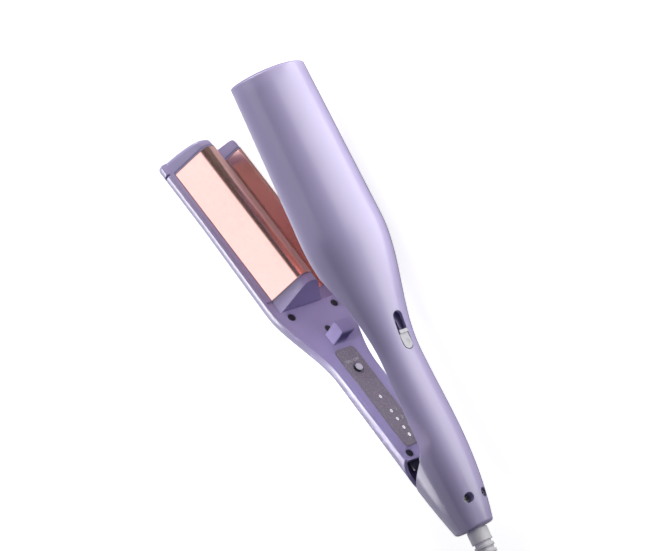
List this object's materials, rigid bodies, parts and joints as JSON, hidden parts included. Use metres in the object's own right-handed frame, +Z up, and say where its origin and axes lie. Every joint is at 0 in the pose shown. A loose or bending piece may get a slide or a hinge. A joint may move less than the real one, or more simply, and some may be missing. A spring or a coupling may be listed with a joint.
{
  "type": "hair waver",
  "caption": "Handheld hair waver with a round barrel arm and a slim control arm hinged at the rear, wave-shaped heated plates, a sliding lock, a power button and a swivel cord.",
  "frame": {"origin": "on the surface the handset lies on, below the middle of the box round the open handset without its cord", "axes": "+X from the rear of the handset to the tip of the barrel arm, +Y from the barrel arm towards the open control arm, +Z up, along the hinge pin"},
  "size_m": [0.575, 0.1276, 0.0596],
  "materials": {
    "shell": "satin moulded plastic",
    "plate": "polished rose-gold coating",
    "spreader": "plain",
    "heater": "plain ceramic",
    "clamp": "plain mica and ceramic",
    "steel": "plain",
    "knob": "satin",
    "dark_plastic": "matte",
    "panel": "fine metallic speckle",
    "window": "clear white",
    "board": "satin",
    "lamp": "clear",
    "button": "satin",
    "relief": "matte",
    "cord": "matte",
    "tie": "matte",
    "plug": "matte",
    "pins": "nickelled"
  },
  "bodies": {
    "main_arm": {"barrel_shell": "shell", "barrel_plate": "plate", "barrel_plate_frame": "shell", "barrel_heat_spreader": "spreader", "barrel_heater": "heater", "barrel_heater_clamp": "clamp", "thermal_fuse": "steel", "barrel_inner_cover": "shell", "barrel_cover_screws": "steel", "lock_track": "shell", "rear_cover": "shell", "rear_screws": "steel", "hinge_bracket": "steel", "hinge_pin": "steel", "hinge_spring": "steel", "cord": "cord", "cord_coil": "cord", "coil_tie": "tie", "plug": "plug", "plug_pins": "pins"},
    "control_arm": {"control_shell": "shell", "control_cover": "shell", "tip_cap": "shell", "control_plate": "plate", "control_plate_frame": "shell", "control_heat_spreader": "spreader", "control_heater": "heater", "control_heater_clamp": "clamp", "temperature_sensor": "steel", "control_panel": "panel", "indicator_windows": "window", "circuit_board": "board", "indicator_lamps": "lamp", "button_switch": "dark_plastic", "cover_screws": "steel", "swing_bracket": "steel"},
    "lock_slider": {"lock_knob": "knob", "lock_hook": "dark_plastic"},
    "button": {"power_button": "button"},
    "cord_swivel": {"strain_relief": "relief"}
  },
  "joints": [
    {"name": "arm_hinge", "type": "hinge", "parent": "main_arm", "child": "control_arm", "pos_m": [-0.13875, -0.03399, 0.0298], "axis": [0, 0, 1], "range_deg": [-17.4, 0], "stiffness_Nm_per_rad": 1.2, "springref_deg": 11.46},
    {"name": "lock_slide", "type": "slide", "parent": "main_arm", "child": "lock_slider", "axis": [1, 0, 0], "range_m": [0, 0.008]},
    {"name": "power_button_press", "type": "slide", "parent": "control_arm", "child": "button", "axis": [-0.299, 0.9542, 0], "range_m": [0, 0.0008], "stiffness_N_per_m": 800, "springref_m": -0.0004},
    {"name": "cord_swivel_turn", "type": "hinge", "parent": "main_arm", "child": "cord_swivel", "pos_m": [-0.16975, -0.03399, 0.0298], "axis": [1, 0, 0], "continuous": true}
  ]
}
